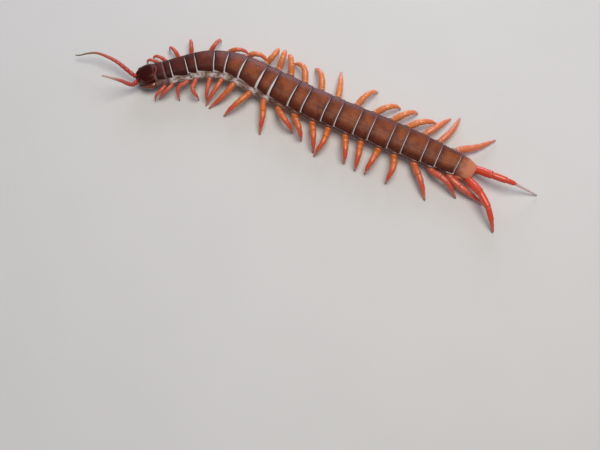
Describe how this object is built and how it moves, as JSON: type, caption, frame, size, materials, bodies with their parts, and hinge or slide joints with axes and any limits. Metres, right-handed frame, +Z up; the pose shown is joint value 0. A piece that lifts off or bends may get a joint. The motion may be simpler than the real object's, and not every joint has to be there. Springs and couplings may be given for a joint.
{
  "type": "giant centipede",
  "caption": "Life-size still model of a crawling giant centipede with a plated, bent trunk, antennae, venom claws and paired jointed legs.",
  "frame": {"origin": "the middle of the model's box in plan, on the floor that its feet stand on", "axes": "+X runs along the box's longest side, from the head end to the tail end, +Y to the far side of the view that shows the head at the left, +Z up"},
  "size_m": [0.2266, 0.1028, 0.0181],
  "materials": {
    "plate": "glossy dark reddish-brown cuticle",
    "head": "glossy dark maroon cuticle",
    "membrane": "soft pale grey-beige skin, wrinkled",
    "leg": "glossy orange cuticle, redder at the foot",
    "last_leg": "glossy red cuticle",
    "antenna": "fine downy red cuticle, paler at the tip",
    "venom_claw": "glossy orange-brown cuticle",
    "claw": "hard black-brown horn",
    "eye": "polished black lenses"
  },
  "bodies": {
    "root": {"head": "head", "eye_left": "eye", "antenna_left": "antenna", "venom_claw_left": "venom_claw", "eye_right": "eye", "antenna_right": "antenna", "venom_claw_right": "venom_claw", "venom_claw_plate": "venom_claw", "trunk_01_03": "plate", "trunk_04_06": "plate", "trunk_07_09": "plate", "trunk_10_12": "plate", "trunk_13_15": "plate", "trunk_16_18": "plate", "trunk_19_21": "plate", "leg_left_01": "leg", "leg_right_01": "leg", "leg_left_02": "leg", "leg_right_02": "leg", "leg_left_03": "leg", "leg_right_03": "leg", "leg_left_04": "leg", "leg_right_04": "leg", "leg_left_05": "leg", "leg_right_05": "leg", "leg_left_06": "leg", "leg_right_06": "leg", "leg_left_07": "leg", "leg_right_07": "leg", "leg_left_08": "leg", "leg_right_08": "leg", "leg_left_09": "leg", "leg_right_09": "leg", "leg_left_10": "leg", "leg_right_10": "leg", "leg_left_11": "leg", "leg_right_11": "leg", "leg_left_12": "leg", "leg_right_12": "leg", "leg_left_13": "leg", "leg_right_13": "leg", "leg_left_14": "leg", "leg_right_14": "leg", "leg_left_15": "leg", "leg_right_15": "leg", "leg_left_16": "leg", "leg_right_16": "leg", "leg_left_17": "leg", "leg_right_17": "leg", "leg_left_18": "leg", "leg_right_18": "leg", "leg_left_19": "leg", "leg_right_19": "leg", "leg_left_20": "leg", "leg_right_20": "leg", "leg_left_21": "last_leg", "leg_right_21": "last_leg"}
  },
  "joints": []
}
